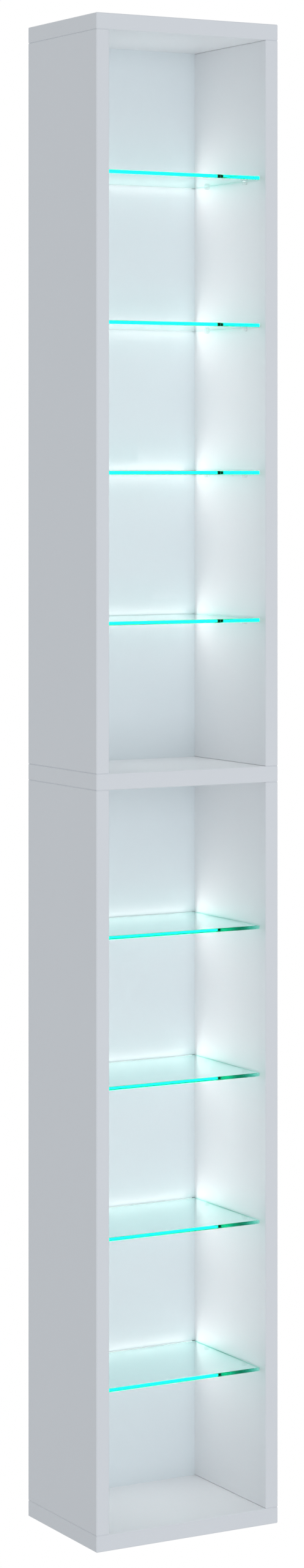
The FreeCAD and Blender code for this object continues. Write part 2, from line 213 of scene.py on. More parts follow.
class WallShelfHardware(bpy.types.PropertyGroup):
    """Sizes of the small pieces that are modelled here, and of fine patterns."""

    pin_head: length_property("Pin head", "Radius of a shelf pin's head", 2.2)
    pin_head_length: length_property("Pin head length", "How far a pin's head stands out", 5.0)
    pin_shank: length_property("Pin shank", "Radius of a shelf pin's shank", 1.5)
    pin_flat: length_property("Pin flat", "Height of the flat above a pin's axis", 1.4)
    pin_bevel: length_property("Pin bevel", "Rounding of a pin's tip", 0.6)
    cap_radius: length_property("Cap radius", "Radius of a screw cap", 6.0)
    cap_bevel: length_property("Cap bevel", "Rounding of a cap's rim", 0.5)
    screw_head: length_property("Screw head", "Radius of a rear screw's head", 2.8)
    screw_shank: length_property("Screw shank", "Radius of a rear screw's shank", 1.5)
    screw_head_height: length_property("Screw head height", "Depth of the countersink", 1.3)
    cross_width: length_property("Cross width", "Width of the cross recess's arms", 0.8)
    cross_depth: length_property("Cross depth", "Depth of the cross recess", 0.9)
    nail_radius: length_property("Nail radius", "Radius of a back panel nail", 0.8)
    chip_pitch: length_property("Chip pitch", "Distance between light chips", 10.0)
    screen_pitch: length_property("Screen pitch", "Mesh pressed into the rear of the back panels", 1.6)


class WallShelfStudio(bpy.types.PropertyGroup):
    """Camera, floor and light of the studio."""

    camera_place: lengths_property("Camera", "Place of the camera", (-2.011, -3.650, 0.025))
    camera_turn: bpy.props.FloatProperty(
        name="Camera turn",
        description="Turn of the camera to the right",
        default=math.radians(29.39),
        unit="ROTATION",
    )
    lens: number_property("Lens", "Focal length in millimetres", 83.5)
    rise: bpy.props.FloatProperty(name="Rise", description="Vertical shift of the lens", default=-0.2008)
    room_light: colour_property("Room light", "Soft light from all round", (0.90, 0.95, 1.0))
    room_strength: number_property("Room strength", "Strength of the light from all round", 0.572)
    front_light: colour_property("Front light", "Light of the front lamp", (0.93, 0.95, 1.0))
    front_strength: number_property("Front strength", "Power of the front lamp in watts", 55.5)
    front_place: lengths_property("Front place", "Place of the front lamp", (-0.7, -4.6, -0.3))
    front_aim: lengths_property("Front aim", "Point that the front lamp looks at", (0.0, 0.0, -0.3))
    front_size: lengths_property("Front size", "Width and height of the front lamp", (2.4, 3.0))
    strip_lamp: colour_property("Strip lamp", "Light that the strips throw", (1.0, 0.81, 0.80))
    forward_strength: number_property("Forward strength", "Watts that each strip throws forward", 0.066)
    wash_strength: number_property("Wash strength", "Watts of each strip up, and down, the back", 0.0105)
    end_strength: number_property("End strength", "Watts that each strip's right end adds", 0.0036)
    glow_strength: number_property("Glow strength", "Watts of the glow below each strip", 0.0035)
    glass_strength: number_property("Glass strength", "Watts that each face of a lit glass gives off", 0.025)
    floor_colour: colour_property("Floor", "Pale colour of the floor", (0.82, 0.83, 0.84))
    floor_white: factor_property("Floor white", "Share of white that the camera sees on the floor", 0.92)
    floor_drop: length_property("Floor drop", "Height of the shelf above the floor", 900.0)
    floor_size: length_property("Floor size", "Width of the floor", 4000.0)


def finishes():
    return bpy.context.scene.wall_shelf_finishes


def hardware():
    return bpy.context.scene.wall_shelf_hardware


def studio():
    return bpy.context.scene.wall_shelf_studio


# Node helpers
def new_material(name):
    """Material with a Principled shader on its output."""
    material = bpy.data.materials.new(name)
    material.use_nodes = True
    tree = material.node_tree
    return material, tree, tree.nodes["Principled BSDF"], tree.nodes["Material Output"]


def add_node(tree, kind, inputs=(), **settings):
    """New node with its settings and with values or links on its inputs."""
    node = tree.nodes.new(kind)
    for name, value in settings.items():
        setattr(node, name, value)
    for socket, value in dict(inputs).items():
        if isinstance(value, bpy.types.NodeSocket):
            tree.links.new(value, node.inputs[socket])
        else:
            node.inputs[socket].default_value = value
    return node


def math_node(tree, operation, *values):
    """Output of a Math node on values or links."""
    return add_node(tree, "ShaderNodeMath", enumerate(values), operation=operation).outputs[0]


def vector_math(tree, operation, *values):
    """Output of a Vector Math node on vectors, colours or links."""
    return add_node(tree, "ShaderNodeVectorMath", enumerate(values), operation=operation).outputs[0]


def stretch(tree, value, by, plus):
    """A value times one number and plus another."""
    return math_node(tree, "MULTIPLY_ADD", value, by, plus)


def map_range(tree, value, low, high, top=1.0):
    """A value between two levels, drawn out from zero to the top and clamped there."""
    inputs = {0: value, 1: low, 2: high, 3: 0.0, 4: top}
    return add_node(tree, "ShaderNodeMapRange", inputs).outputs[0]


def mix_colours(tree, factor, first, second):
    """Output of a colour mix."""
    inputs = {0: factor, 6: first, 7: second}
    return add_node(tree, "ShaderNodeMix", inputs, data_type="RGBA").outputs[2]


def mix_shaders(tree, factor, first, second):
    """Output of a shader mix."""
    return add_node(tree, "ShaderNodeMixShader", {0: factor, 1: first, 2: second}).outputs[0]


def object_places(tree):
    """Places in the frame, because every piece sits at the origin."""
    return add_node(tree, "ShaderNodeTexCoord").outputs["Object"]


def place_along(tree, axis):
    """Place in the frame along one axis."""
    return add_node(tree, "ShaderNodeSeparateXYZ", {0: object_places(tree)}).outputs[axis]


def facing_along(tree, axis):
    """How far a face looks along one axis, from -1 to 1."""
    normals = add_node(tree, "ShaderNodeTexCoord").outputs["Normal"]
    return add_node(tree, "ShaderNodeSeparateXYZ", {0: normals}).outputs[axis]


def noise(tree, places, scale, detail, roughness=0.5):
    """Noise node with its scale in cells per metre."""
    inputs = {"Vector": places, "Scale": scale, "Detail": detail, "Roughness": roughness}
    return add_node(tree, "ShaderNodeTexNoise", inputs)


def cells(tree, places, scale):
    """Voronoi node with its scale in cells per metre."""
    return add_node(tree, "ShaderNodeTexVoronoi", {"Vector": places, "Scale": scale})


def wave(tree, along, pitch):
    """Cosine with one crest in each pitch."""
    return math_node(tree, "COSINE", math_node(tree, "MULTIPLY", along, 2 * math.pi / pitch))


def rgba(colour):
    return (*colour, 1.0)


def darker(colour, share):
    """Share of a colour."""
    return tuple(share * part for part in colour)


def new_group(name, inputs, outputs):
    """Shader node group with named sockets, and its two end nodes."""
    tree = bpy.data.node_groups.new(name, "ShaderNodeTree")
    kinds = {"value": "NodeSocketFloat", "colour": "NodeSocketColor"}
    for label, kind in inputs.items():
        tree.interface.new_socket(label, in_out="INPUT", socket_type=kinds[kind])
    for label, kind in outputs.items():
        tree.interface.new_socket(label, in_out="OUTPUT", socket_type=kinds[kind])
    return tree, tree.nodes.new("NodeGroupInput").outputs, tree.nodes.new("NodeGroupOutput").inputs


def fine_surface_group():
    """Slow mottling of colour and gloss with a fine grain for the bump."""
    found = bpy.data.node_groups.get("fine_surface")
    if found:
        return found
    inputs = {
        "Colour": "colour",
        "Roughness": "value",
        "Mottle": "value",
        "Gloss change": "value",
        "Cloud scale": "value",
        "Grain scale": "value",
    }
    outputs = {"Colour": "colour", "Roughness": "value", "Height": "value"}
    tree, given, out = new_group("fine_surface", inputs, outputs)
    places = object_places(tree)
    cloud = noise(tree, places, given["Cloud scale"], detail=4.0).outputs[0]
    grain = noise(tree, places, given["Grain scale"], detail=2.0).outputs[0]
    swing = math_node(tree, "SUBTRACT", cloud, NOISE_MIDDLE)
    shade = stretch(tree, swing, by=given["Mottle"], plus=1.0)
    tree.links.new(vector_math(tree, "MULTIPLY", given["Colour"], shade), out["Colour"])
    fine = math_node(tree, "SUBTRACT", grain, NOISE_MIDDLE)
    both = stretch(tree, fine, by=GRAIN_IN_GLOSS, plus=swing)
    tree.links.new(stretch(tree, both, by=given["Gloss change"], plus=given["Roughness"]), out["Roughness"])
    tree.links.new(grain, out["Height"])
    return tree


def put_fine_surface(tree, shader, colour, *, roughness, mottle, gloss_change, cloud, grain, depth):
    """Places the fine surface group in a material, with a bump of some depth in metres."""
    given = {
        "Colour": colour if isinstance(colour, bpy.types.NodeSocket) else rgba(colour),
        "Roughness": roughness,
        "Mottle": mottle,
        "Gloss change": gloss_change,
        "Cloud scale": cloud,
        "Grain scale": grain,
    }
    group = add_node(tree, "ShaderNodeGroup", given, node_tree=fine_surface_group())
    bump = add_node(tree, "ShaderNodeBump", {"Height": group.outputs["Height"], "Distance": depth})
    tree.links.new(group.outputs["Colour"], shader.inputs["Base Color"])
    tree.links.new(group.outputs["Roughness"], shader.inputs["Roughness"])
    tree.links.new(bump.outputs[0], shader.inputs["Normal"])


def let_light_pass(tree, surface, output):
    """Lets lamp light and soft light straight through a clear surface."""
    path = add_node(tree, "ShaderNodeLightPath")
    passing = math_node(tree, "MAXIMUM", path.outputs["Is Shadow Ray"], path.outputs["Is Diffuse Ray"])
    clear = add_node(tree, "ShaderNodeBsdfTransparent").outputs[0]
    tree.links.new(mix_shaders(tree, passing, surface, clear), output.inputs["Surface"])


def seen_directly(tree):
    """One where the camera, gloss or glass looks."""
    path = add_node(tree, "ShaderNodeLightPath")
    gloss = math_node(tree, "MAXIMUM", path.outputs["Is Glossy Ray"], path.outputs["Is Transmission Ray"])
    return math_node(tree, "MAXIMUM", path.outputs["Is Camera Ray"], gloss)


# Finishes
def rear_mask(tree):
    """One on faces that look to the wall."""
    return math_node(tree, "GREATER_THAN", facing_along(tree, "Y"), SAME_WAY)


def chipboard_colour(tree, colour):
    """Pressed wood chips, coarse and fine, with ragged outlines and dark gaps."""
    places = object_places(tree)
    ragged = noise(tree, places, scale=900.0, detail=3.0).outputs["Color"]
    shift = vector_math(tree, "SUBTRACT", ragged, (NOISE_MIDDLE,) * 3)
    bent = vector_math(tree, "MULTIPLY_ADD", shift, (CHIPBOARD_BEND,) * 3, places)
    coarse = cells(tree, bent, scale=420.0)
    fine = cells(tree, bent, scale=1300.0)
    coarse_tone, fine_tone = (
        add_node(tree, "ShaderNodeSeparateColor", {0: chips.outputs["Color"]}).outputs[0]
        for chips in (coarse, fine)
    )
    coarse_part = math_node(tree, "MULTIPLY", coarse_tone, 1.0 - CHIPBOARD_FINE_SHARE)
    tone = stretch(tree, fine_tone, by=CHIPBOARD_FINE_SHARE, plus=coarse_part)
    shade = stretch(tree, tone, by=CHIPBOARD_TONES, plus=CHIPBOARD_DARKEST)
    tinted = vector_math(tree, "MULTIPLY", colour, shade)
    gap = map_range(tree, fine.outputs["Distance"], low=0.55, high=0.85, top=0.5)
    return mix_colours(tree, gap, tinted, rgba(darker(colour, CHIPBOARD_GAP_TONE)))


def lacquer_material():
    """Sprayed white satin lacquer with a faint orange peel, and bare chipboard on the rear edges."""
    material, tree, shader, _ = new_material("white_lacquer")
    values = finishes()
    rear = rear_mask(tree)
    put_fine_surface(
        tree,
        shader,
        mix_colours(tree, rear, rgba(values.lacquer), chipboard_colour(tree, values.chipboard)),
        roughness=stretch(tree, rear, by=CHIPBOARD_EXTRA_ROUGHNESS, plus=values.lacquer_roughness),
        mottle=0.03,
        gloss_change=0.08,
        cloud=9.0,
        grain=700.0,
        depth=0.00003,
    )
    return material


def screen_print(tree):
    """Fine mesh that the press leaves on the rear of hardboard."""
    pitch = hardware().screen_pitch
    across, upright = (wave(tree, place_along(tree, axis), pitch) for axis in "XZ")
    return math_node(tree, "MULTIPLY", math_node(tree, "MAXIMUM", across, upright), SCREEN_STRENGTH)


def back_material():
    """White film on the front and bare mottled hardboard on the rear."""
    material, tree, shader, _ = new_material("white_back")
    values = finishes()
    rear = rear_mask(tree)
    places = object_places(tree)
    fibres = noise(tree, places, scale=420.0, detail=6.0, roughness=0.7).outputs[0]
    blotches = noise(tree, places, scale=22.0, detail=5.0, roughness=0.65).outputs[0]
    pressed = math_node(tree, "ADD", fibres, screen_print(tree))
    mottled = stretch(tree, blotches, by=RAW_BOARD_BLOTCHES, plus=pressed)
    level = map_range(tree, mottled, low=0.75, high=1.75)
    dark = darker(values.raw_board, RAW_BOARD_DARKEST)
    raw = mix_colours(tree, level, rgba(dark), rgba(values.raw_board))
    put_fine_surface(
        tree,
        shader,
        mix_colours(tree, rear, rgba(values.back_film), raw),
        roughness=stretch(tree, rear, by=RAW_BOARD_EXTRA_ROUGHNESS, plus=values.back_roughness),
        mottle=0.03,
        gloss_change=0.06,
        cloud=7.0,
        grain=900.0,
        depth=0.00003,
    )
    return material


def ground_painted_light(tree):
    """Ground side edge in painted light, lighter in front and by the strip at the rear, with painted shade
    darkest half way back.
    """
    values = finishes()
    low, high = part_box("glass_shelf_1")
    share = map_range(tree, place_along(tree, "Y"), low.y, high.y)
    ramp = add_node(tree, "ShaderNodeValToRGB", {0: share})
    ramp.color_ramp.interpolation = "EASE"
    stops = ramp.color_ramp.elements
    stops[0].position, stops[0].color = 0.0, rgba(values.ground_lit_front)
    stops[1].position, stops[1].color = GROUND_PAINTED_LIGHT_REAR, rgba(values.ground_lit_rear)
    stops.new(GROUND_PAINTED_SHADE).color = rgba(values.ground_shaded_middle)
    return ramp.outputs[0]


def glass_material(name, ground):
    """Clear glass whose long paths turn cyan, with side edges polished or ground, the ground ones coloured
    with painted light and shade.
    """
    material, tree, shader, output = new_material(name)
    values = finishes()
    shader.inputs["Base Color"].default_value = WHITE
    shader.inputs["Transmission Weight"].default_value = 1.0
    shader.inputs["IOR"].default_value = values.glass_refraction
    shader.inputs["Specular Tint"].default_value = rgba((values.glass_gloss,) * 3)
    smears = noise(tree, object_places(tree), scale=14.0, detail=3.0).outputs[0]
    haze = map_range(tree, smears, low=0.55, high=0.8, top=0.015)
    tree.links.new(haze, shader.inputs["Roughness"])
    surface = shader.outputs[0]
    if ground:
        sideways = math_node(tree, "ABSOLUTE", facing_along(tree, "X"))
        sides = math_node(tree, "GREATER_THAN", sideways, GROUND_FACING)
        # Ground side edges: a diffuse surface whose colour holds painted light and painted shade along the
        # depth
        frost_painted_light = add_node(tree, "ShaderNodeBsdfDiffuse", {"Color": ground_painted_light(tree)}).outputs[0]
        surface = mix_shaders(tree, sides, surface, frost_painted_light)
    let_light_pass(tree, surface, output)
    tint = {"Color": rgba(values.glass_tint), "Density": values.glass_density}
    absorption = add_node(tree, "ShaderNodeVolumeAbsorption", tint)
    tree.links.new(absorption.outputs[0], output.inputs["Volume"])
    return material


def cover_material():
    """White strip cover with an opal face, softly brighter over the chips, and dark sleeves at its ends."""
    material, tree, shader, _ = new_material("strip_cover")
    values = finishes()
    along = place_along(tree, "X")
    crests = stretch(tree, wave(tree, along, hardware().chip_pitch), by=0.5, plus=0.5)
    ripple = stretch(tree, crests, by=STRIP_RIPPLE, plus=1.0 - STRIP_RIPPLE)
    face = math_node(tree, "LESS_THAN", facing_along(tree, "Y"), -SAME_WAY)
    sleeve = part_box("led_cover_1")[1].x - STRIP_SLEEVE
    clear = math_node(tree, "LESS_THAN", math_node(tree, "ABSOLUTE", along), sleeve)
    bright = math_node(tree, "MULTIPLY", ripple, math_node(tree, "MULTIPLY", face, clear))
    put_fine_surface(
        tree,
        shader,
        mix_colours(tree, clear, rgba(values.dark_plastic), rgba(values.strip_cover)),
        roughness=0.45,
        mottle=0.02,
        gloss_change=0.05,
        cloud=20.0,
        grain=500.0,
        depth=0.00001,
    )
    glow = mix_colours(tree, bright, BLACK, rgba(values.strip_light))
    tree.links.new(glow, shader.inputs["Emission Color"])
    shader.inputs["Emission Strength"].default_value = values.strip_strength
    return material


def light_chip_material():
    """Yellowish phosphor of the light chips."""
    material, tree, shader, _ = new_material("light_chip")
    values = finishes()
    put_fine_surface(
        tree,
        shader,
        values.chip_phosphor,
        roughness=0.35,
        mottle=0.10,
        gloss_change=0.1,
        cloud=900.0,
        grain=3000.0,
        depth=0.00001,
    )
    shader.inputs["Emission Color"].default_value = rgba(values.strip_light)
    shader.inputs["Emission Strength"].default_value = values.chip_strength
    # The covers shut the chips in, so no light samples go to them
    material.cycles.emission_sampling = "NONE"
    return material


def tape_material():
    """White flexible circuit with copper pads between the chips."""
    material, tree, shader, _ = new_material("strip_tape")
    values = finishes()
    pitch = hardware().chip_pitch
    from_chip = math_node(tree, "WRAP", place_along(tree, "X"), pitch, 0.0)
    from_pad = math_node(tree, "ABSOLUTE", math_node(tree, "SUBTRACT", from_chip, pitch / 2))
    pads = math_node(tree, "LESS_THAN", from_pad, PAD_HALF_LENGTH)
    put_fine_surface(
        tree,
        shader,
        mix_colours(tree, pads, rgba(values.tape), rgba(values.copper)),
        roughness=0.4,
        mottle=0.04,
        gloss_change=0.1,
        cloud=60.0,
        grain=1500.0,
        depth=0.00001,
    )
    return material


def dark_plastic_material():
    """Moulded black plastic of the strip ends."""
    material, tree, shader, _ = new_material("black_plastic")
    put_fine_surface(
        tree,
        shader,
        finishes().dark_plastic,
        roughness=0.5,
        mottle=0.2,
        gloss_change=0.1,
        cloud=200.0,
        grain=2500.0,
        depth=0.00002,
    )
    return material


def cap_material():
    """Moulded white plastic of the screw caps."""
    material, tree, shader, _ = new_material("white_plastic")
    put_fine_surface(
        tree,
        shader,
        finishes().cap_plastic,
        roughness=0.38,
        mottle=0.03,
        gloss_change=0.08,
        cloud=120.0,
        grain=2200.0,
        depth=0.00002,
    )
    return material


def pin_material():
    """Moulded plastic, clear in the head and milky from its foot on the board inwards."""
    material, tree, shader, output = new_material("clear_plastic")
    values = finishes()
    put_fine_surface(
        tree,
        shader,
        values.pin_plastic,
        roughness=0.22,
        mottle=0.02,
        gloss_change=0.08,
        cloud=300.0,
        grain=1500.0,
        depth=0.00001,
    )
    shader.inputs["IOR"].default_value = values.pin_refraction
    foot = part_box("upper_right_side")[0].x - PIN_FOOT
    milky = math_node(tree, "GREATER_THAN", math_node(tree, "ABSOLUTE", place_along(tree, "X")), foot)
    alpha = stretch(tree, milky, by=1.0 - PIN_HEAD_ALPHA, plus=PIN_HEAD_ALPHA)
    tree.links.new(alpha, shader.inputs["Alpha"])
    let_light_pass(tree, shader.outputs[0], output)
    return material


def zinc_material():
    """Zinc plated steel with faint crystals and a fine grain."""
    material, tree, shader, _ = new_material("zinc_steel")
    crystals = cells(tree, object_places(tree), scale=450.0).outputs["Color"]
    shade = stretch(tree, crystals, by=CRYSTAL_TONES, plus=CRYSTAL_DARKEST)
    put_fine_surface(
        tree,
        shader,
        vector_math(tree, "MULTIPLY", finishes().zinc, shade),
        roughness=0.36,
        mottle=0.06,
        gloss_change=0.16,
        cloud=160.0,
        grain=1800.0,
        depth=0.00002,
    )
    shader.inputs["Metallic"].default_value = 1.0
    return material


def beech_material():
    """Beech with short grain flecks along the dowel."""
    material, tree, shader, _ = new_material("beech")
    colour = finishes().beech
    grain_lines = {"Vector": object_places(tree), "Scale": (900.0, 900.0, 60.0)}
    stretched = add_node(tree, "ShaderNodeMapping", grain_lines).outputs[0]
    flecks = noise(tree, stretched, scale=1.0, detail=4.0).outputs[0]
    put_fine_surface(
        tree,
        shader,
        mix_colours(tree, flecks, rgba(darker(colour, BEECH_DARKEST)), rgba(colour)),
        roughness=0.6,
        mottle=0.08,
        gloss_change=0.1,
        cloud=120.0,
        grain=1500.0,
        depth=0.00004,
    )
    return material


# Modelling helpers
def numbered(stem):
    """Names of the nodes that each shelf has one of."""
    return [f"{stem}_{number}" for number in range(1, SHELF_COUNT + 1)]


def dress(material, *nodes):
    """Gives CAD nodes a material."""
    for node in nodes:
        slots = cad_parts[node].data.materials
        slots.clear()
        slots.append(material)


def start_piece(name, add_primitive, **options):
    """Adds a primitive at its place, applies the place to its mesh and opens it for editing."""
    bpy.ops.object.select_all(action="DESELECT")
    add_primitive(**options)
    piece = bpy.context.object
    piece.name = name
    piece.data.name = name
    bpy.ops.object.transform_apply(location=True, rotation=True, scale=True)
    bpy.ops.object.mode_set(mode="EDIT")
    return piece


def looks(face, way):
    """Whether a face looks one way."""
    return face.normal.dot(way) > SAME_WAY


def pick_faces(piece, wanted):
    """Selects only the faces that pass a test."""
    bpy.ops.mesh.select_mode(type="FACE")
    bpy.ops.mesh.select_all(action="DESELECT")
    mesh = bmesh.from_edit_mesh(piece.data)
    for face in mesh.faces:
        face.select_set(bool(wanted(face)))
    bmesh.update_edit_mesh(piece.data)


def pick_rim(piece, way):
    """Selects the edges round the faces that look one way."""
    pick_faces(piece, lambda face: looks(face, way))
    bpy.ops.mesh.region_to_loop()


def push_out(step):
    """Extrudes the picked faces by a step."""
    bpy.ops.mesh.extrude_region_move(TRANSFORM_OT_translate={"value": step})


def close_piece(piece):
    """Leaves edit mode with outward normals and smooth round faces."""
    bpy.ops.mesh.select_all(action="SELECT")
    bpy.ops.mesh.normals_make_consistent(inside=False)
    bpy.ops.object.mode_set(mode="OBJECT")
    bpy.ops.object.shade_smooth_by_angle(angle=SMOOTH_ANGLE)


def spread_copies(piece, moves):
    """Joins one copy of the piece for each move into a single object at the origin."""
    copies = []
    for move in moves:
        copy = piece.copy()
        copy.data = piece.data.copy()
        copy.data.transform(move)
        bpy.context.scene.collection.objects.link(copy)
        copies.append(copy)
    bpy.ops.object.select_all(action="DESELECT")
    for copy in copies:
        copy.select_set(True)
    bpy.context.view_layer.objects.active = copies[0]
    bpy.ops.object.join()
    name = piece.name
    bpy.data.objects.remove(piece)
    joined = bpy.context.object
    joined.name = name
    joined.data.name = name
    return joined


def finish_piece(piece, material, slot, *nodes):
    """Gives a new piece its material and its place in the frame."""
    piece.data.materials.clear()
    piece.data.materials.append(material)
    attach(piece, "case")
    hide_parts(*nodes)


def half_turn_about(y):
    """Half turn about an upright axis through the middle of the shelf at one depth."""
    axis = Matrix.Translation((0, y, 0))
    return axis @ Matrix.Rotation(math.pi, 4, "Z") @ axis.inverted()


def island_centres(node):
    """Middles of the separate solids of a CAD node, in order of their places."""
    mesh = bmesh.new()
    mesh.from_mesh(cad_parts[node].data)
    bmesh.ops.remove_doubles(mesh, verts=mesh.verts, dist=TOUCHING)
    left = set(mesh.verts)
    centres = []
    while left:
        stack = [left.pop()]
        corners = []
        while stack:
            vert = stack.pop()
            corners.append(vert.co.copy())
            near = {edge.other_vert(vert) for edge in vert.link_edges} & left
            left -= near
            stack.extend(near)
        low = Vector(min(corner[i] for corner in corners) for i in range(3))
        high = Vector(max(corner[i] for corner in corners) for i in range(3))
        centres.append((low + high) / 2)
    mesh.free()
    return sorted(centres, key=tuple)


# Operators
class WALLSHELF_OT_boards(bpy.types.Operator):
    """Lacquers the case boards"""

    bl_idname = "wallshelf.boards"
    bl_label = "Case boards"

    def execute(self, context):
        dress(lacquer_material(), *BOARDS)
        return {"FINISHED"}


class WALLSHELF_OT_back_panels(bpy.types.Operator):
    """Finishes the back panels, white in front and bare behind"""

    bl_idname = "wallshelf.back_panels"
    bl_label = "Back panels"

    def execute(self, context):
        dress(back_material(), *[f"{section}_back_panel" for section in SECTIONS])
        return {"FINISHED"}


class WALLSHELF_OT_glass_shelves(bpy.types.Operator):
    """Gives the glass shelves their tinted glass"""

    bl_idname = "wallshelf.glass_shelves"
    bl_label = "Glass shelves"

    def execute(self, context):
        shelves = numbered("glass_shelf")
        dress(glass_material("glass_polished", False), *shelves[:UPPER_SHELVES])
        # The lower shelves' ground side edges carry painted light and shade in their colour
        dress(glass_material("glass_ground_painted_light", True), *shelves[UPPER_SHELVES:])
        return {"FINISHED"}


class WALLSHELF_OT_light_strips(bpy.types.Operator):
    """Finishes the light strips"""

    bl_idname = "wallshelf.light_strips"
    bl_label = "Light strips"

    def execute(self, context):
        dress(cover_material(), *numbered("led_cover"))
        dress(light_chip_material(), *numbered("led_chips"))
        dress(tape_material(), *numbered("led_tape"))
        dress(dark_plastic_material(), "led_end_caps")
        return {"FINISHED"}


class WALLSHELF_OT_rear_plates(bpy.types.Operator):
    """Plates the hangers, joining plates and connecting screws with zinc"""

    bl_idname = "wallshelf.rear_plates"
    bl_label = "Rear plates"

    def execute(self, context):
        dress(zinc_material(), "hanger_plates", "joining_plates", "connecting_screws")
        return {"FINISHED"}


class WALLSHELF_OT_dowels(bpy.types.Operator):
    """Gives the dowels their beech"""

    bl_idname = "wallshelf.dowels"
    bl_label = "Dowels"

    def execute(self, context):
        dress(beech_material(), "dowels", "long_dowels")
        return {"FINISHED"}


class WALLSHELF_OT_shelf_pins(bpy.types.Operator):
    """Models the clear shelf pins"""

    bl_idname = "wallshelf.shelf_pins"
    bl_label = "Shelf pins"

    def execute(self, context):
        low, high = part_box("shelf_pins")
        front = low.y + hardware().pin_head
        rear = high.y - hardware().pin_head
        pin = self.model_first(front, high)
        moves = self.moves_from_first(front, rear)
        finish_piece(spread_copies(pin, moves), pin_material(), "clear_plastic", "shelf_pins")
        return {"FINISHED"}

    def model_first(self, front, high):
        """Right front pin of the top shelf: a head with a flat on top, and a slimmer shank."""
        sizes = hardware()
        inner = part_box("upper_right_side")[0].x
        axis = high.z - sizes.pin_flat
        pin = start_piece(
            "shelf_pins_clear",
            bpy.ops.mesh.primitive_cylinder_add,
            vertices=PIN_SIDES,
            radius=sizes.pin_head,
            depth=sizes.pin_head_length,
            location=(inner - sizes.pin_head_length / 2, front, axis),
            rotation=(0, math.pi / 2, 0),
        )
        pick_rim(pin, LEFT)
        bpy.ops.mesh.bevel(offset=sizes.pin_bevel, segments=3, affect="EDGES")
        pick_faces(pin, lambda face: looks(face, RIGHT))
        bpy.ops.mesh.duplicate()
        slim = sizes.pin_shank / sizes.pin_head
        bpy.ops.transform.resize(value=(1, slim, slim), center_override=(inner, front, axis))
        push_out((high.x - inner, 0, 0))
        bpy.ops.mesh.select_all(action="SELECT")
        bpy.ops.mesh.bisect(
            plane_co=(0, 0, high.z), plane_no=UP, clear_outer=True, use_fill=True, threshold=TOUCHING
        )
        close_piece(pin)
        return pin

    def moves_from_first(self, front, rear):
        """Moves of the first pin to the front and the rear of both sides under every shelf."""
        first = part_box("glass_shelf_1")[0].z
        moves = []
        for shelf in numbered("glass_shelf"):
            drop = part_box(shelf)[0].z - first
            for back in (0.0, rear - front):
                step = Matrix.Translation((0, back, drop))
                moves += [step, step @ half_turn_about(front)]
        return moves


class WALLSHELF_OT_screw_caps(bpy.types.Operator):
    """Models the flush caps over the connecting screws"""

    bl_idname = "wallshelf.screw_caps"
    bl_label = "Screw caps"

    def execute(self, context):
        sizes = hardware()
        centres = island_centres("screw_caps")
        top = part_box("screw_caps")[1].z
        first = max(centres, key=lambda centre: centre.z)
        cap = start_piece(
            "screw_caps_white",
            bpy.ops.mesh.primitive_cylinder_add,
            vertices=CAP_SIDES,
            radius=sizes.cap_radius,
            depth=2 * (top - first.z),
            location=first,
        )
        pick_rim(cap, UP)
        bpy.ops.mesh.bevel(offset=sizes.cap_bevel, segments=3, affect="EDGES")
        pick_faces(cap, lambda face: looks(face, UP) and face.calc_area() > sizes.cap_radius**2)
        bpy.ops.mesh.inset(thickness=sizes.cap_radius / 2)
        bpy.ops.transform.translate(value=(0, 0, -sizes.cap_bevel / 2))
        close_piece(cap)
        moves = []
        for centre in centres:
            step = Matrix.Translation(centre)
            if centre.z < 0:
                step = step @ Matrix.Rotation(math.pi, 4, "X")
            moves.append(step @ Matrix.Translation(-first))
        finish_piece(spread_copies(cap, moves), cap_material(), "white_plastic", "screw_caps")
        return {"FINISHED"}


class WALLSHELF_OT_rear_screws(bpy.types.Operator):
    """Models the countersunk cross-head screws of the rear plates"""

    bl_idname = "wallshelf.rear_screws"
    bl_label = "Rear screws"

    def execute(self, context):
        sizes = hardware()
        nodes = ("hanger_screws", "joining_screws")
        centres = [centre for node in nodes for centre in island_centres(node)]
        low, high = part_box("hanger_screws")
        first = centres[0]
        screw = start_piece(
            "rear_screws_zinc",
            bpy.ops.mesh.primitive_cone_add,
            vertices=SCREW_SIDES,
            radius1=sizes.screw_head,
            radius2=sizes.screw_shank,
            depth=sizes.screw_head_height,
            location=(first.x, high.y - sizes.screw_head_height / 2, first.z),
            rotation=(math.pi / 2, 0, 0),
        )
        pick_faces(screw, lambda face: looks(face, FRONT))
        push_out((0, low.y - high.y + 2 * sizes.screw_head_height, 0))
        push_out((0, -sizes.screw_head_height, 0))
        bpy.ops.transform.resize(
            value=(SCREW_TIP, 1, SCREW_TIP), center_override=(first.x, low.y, first.z)
        )
        self.cut_cross(screw, first, high.y)
        close_piece(screw)
        moves = [Matrix.Translation((centre.x - first.x, 0, centre.z - first.z)) for centre in centres]
        screws = spread_copies(screw, moves)
        finish_piece(screws, bpy.data.materials["zinc_steel"], "zinc_steel", *nodes)
        return {"FINISHED"}

    def cut_cross(self, screw, middle, face_y):
        """Sinks a tapered cross recess into the head."""
        sizes = hardware()
        half = sizes.cross_width / 2
        reach = sizes.screw_head * CROSS_REACH
        pick_faces(screw, lambda face: looks(face, REAR))
        bpy.ops.mesh.inset(thickness=sizes.screw_head * CROSS_INSET)
        for normal in (RIGHT, UP):
            for side in (-half, half):
                pick_faces(screw, lambda face: self.on_disc(face, middle, reach))
                bpy.ops.mesh.bisect(plane_co=middle + normal * side, plane_no=normal, threshold=TOUCHING)
        pick_faces(
            screw, lambda face: self.on_disc(face, middle, reach) and self.on_cross(face, middle, half)
        )
        push_out((0, -sizes.cross_depth, 0))
        bpy.ops.transform.resize(
            value=(CROSS_TAPER, 1, CROSS_TAPER), center_override=(middle.x, face_y, middle.z)
        )

    @staticmethod
    def on_disc(face, middle, reach):
        """Whether a face lies wholly on the inner disc of the head."""
        if not looks(face, REAR):
            return False
        return all(math.hypot(v.co.x - middle.x, v.co.z - middle.z) < reach for v in face.verts)

    @staticmethod
    def on_cross(face, middle, half):
        """Whether a face lies on one of the arms of the cross."""
        away = face.calc_center_median() - middle
        return min(abs(away.x), abs(away.z)) < half


